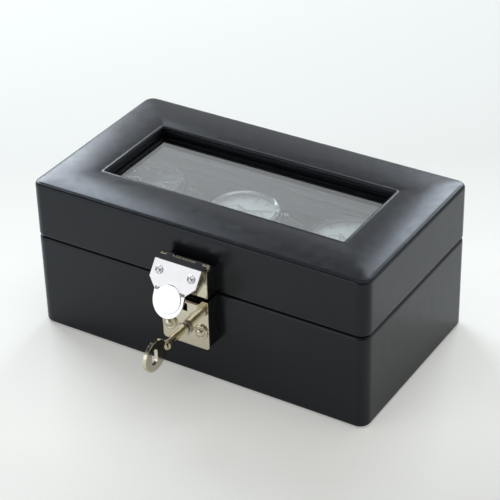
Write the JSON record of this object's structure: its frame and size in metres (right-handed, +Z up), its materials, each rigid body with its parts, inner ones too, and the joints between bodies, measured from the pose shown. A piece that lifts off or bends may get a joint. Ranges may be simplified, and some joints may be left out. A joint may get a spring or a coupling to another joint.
{
  "type": "watch display box",
  "caption": "Leather covered display box with a padded glass-top lid, rear hinges, front lock with swinging hasp and key, and watches strapped on velvet cushions inside.",
  "frame": {"origin": "centre of the box's underside, on the surface it stands on", "axes": "+X to the right along the box, +Y to the back, +Z up"},
  "size_m": [0.2, 0.1632, 0.0889],
  "materials": {
    "leather_cover": "smooth black leatherette, semi-gloss",
    "base_felt": "black felt",
    "velvet_lining": "dark grey velvet",
    "hinge_metal": "nickel plated steel",
    "lock_black": "black enamel",
    "nickel": "bright nickel plate, warm",
    "chrome": "bright chrome plate",
    "lock_works": "plain steel",
    "glass": "clear window glass",
    "cushion_velvet": "grey velvet",
    "strap_leather": "dark strap leather",
    "watch_steel": "polished steel",
    "bezel_dark": "dark enamel ring",
    "bezel_steel": "polished steel",
    "dial_dark": "satin black",
    "dial_silver": "silvered",
    "hand_steel": "bright steel",
    "crystal": "clear watch glass"
  },
  "bodies": {
    "case": {"base_shell": "leather_cover", "base_felt": "base_felt", "base_lining": "velvet_lining", "divider_left": "velvet_lining", "divider_right": "velvet_lining", "hinge_leaf_lower_left": "hinge_metal", "hinge_leaf_lower_right": "hinge_metal", "hinge_pin_left": "hinge_metal", "hinge_pin_right": "hinge_metal", "hinge_screws_lower": "hinge_metal", "lock_body": "lock_black", "lock_face_plate": "nickel", "catch_housing": "nickel", "lock_screws": "nickel"},
    "lid": {"lid_shell": "leather_cover", "lid_pad": "leather_cover", "window_frame": "leather_cover", "glass_pane": "glass", "lid_lining": "velvet_lining", "hinge_leaf_upper_left": "hinge_metal", "hinge_leaf_upper_right": "hinge_metal", "hinge_screws_upper": "hinge_metal", "hasp_block": "lock_black", "hasp_base_plate": "nickel", "hasp_block_screws": "nickel", "hasp_pin": "nickel", "hasp_spring": "lock_works"},
    "hasp": {"hasp_flap": "chrome", "hasp_catch": "lock_works", "hasp_rivets": "chrome"},
    "plug": {"lock_plug": "lock_works", "lock_cam": "lock_works"},
    "bolt": {"lock_bolt": "lock_works"},
    "key": {"key": "nickel"},
    "cushion_left": {"cushion_left": "cushion_velvet", "strap_left": "strap_leather", "watch_case_left": "watch_steel", "bezel_left": "bezel_dark", "dial_left": "dial_dark", "hands_left": "hand_steel", "crystal_left": "crystal", "crown_left": "watch_steel"},
    "cushion_middle": {"cushion_middle": "cushion_velvet", "strap_middle": "strap_leather", "watch_case_middle": "watch_steel", "bezel_middle": "bezel_steel", "dial_middle": "dial_silver", "hands_middle": "hand_steel", "crystal_middle": "crystal", "crown_middle": "watch_steel"},
    "cushion_right": {"cushion_right": "cushion_velvet", "strap_right": "strap_leather", "watch_case_right": "watch_steel", "bezel_right": "bezel_dark", "dial_right": "dial_silver", "hands_right": "hand_steel", "crystal_right": "crystal", "crown_right": "watch_steel"}
  },
  "joints": [
    {"name": "lid_hinge", "type": "hinge", "parent": "case", "child": "lid", "pos_m": [0, 0.0586, 0.0553], "axis": [-1, 0, 0], "range_deg": [0, 95]},
    {"name": "hasp_swing", "type": "hinge", "parent": "lid", "child": "hasp", "pos_m": [0, -0.0615, 0.0736], "axis": [-1, 0, 0], "range_deg": [-26, 60], "stiffness_Nm_per_rad": 0.02},
    {"name": "key_turn", "type": "hinge", "parent": "case", "child": "plug", "pos_m": [0, -0.064, 0.0345], "axis": [0, -1, 0], "range_deg": [0, 90]},
    {"name": "bolt_slide", "type": "slide", "parent": "case", "child": "bolt", "axis": [0, 0, 1], "range_m": [0, 0.00396]},
    {"name": "key_pull", "type": "slide", "parent": "plug", "child": "key", "axis": [0, -1, 0], "range_m": [0, 0.02]},
    {"name": "cushion_lift_left", "type": "slide", "parent": "case", "child": "cushion_left", "axis": [0, 0, 1], "range_m": [0, 0.0045]},
    {"name": "cushion_lift_middle", "type": "slide", "parent": "case", "child": "cushion_middle", "axis": [0, 0, 1], "range_m": [0, 0.0045]},
    {"name": "cushion_lift_right", "type": "slide", "parent": "case", "child": "cushion_right", "axis": [0, 0, 1], "range_m": [0, 0.0045]}
  ],
  "couplings": [
    {"joint": "key_turn", "follows": "bolt_slide", "rad_per_m": 396.66}
  ]
}
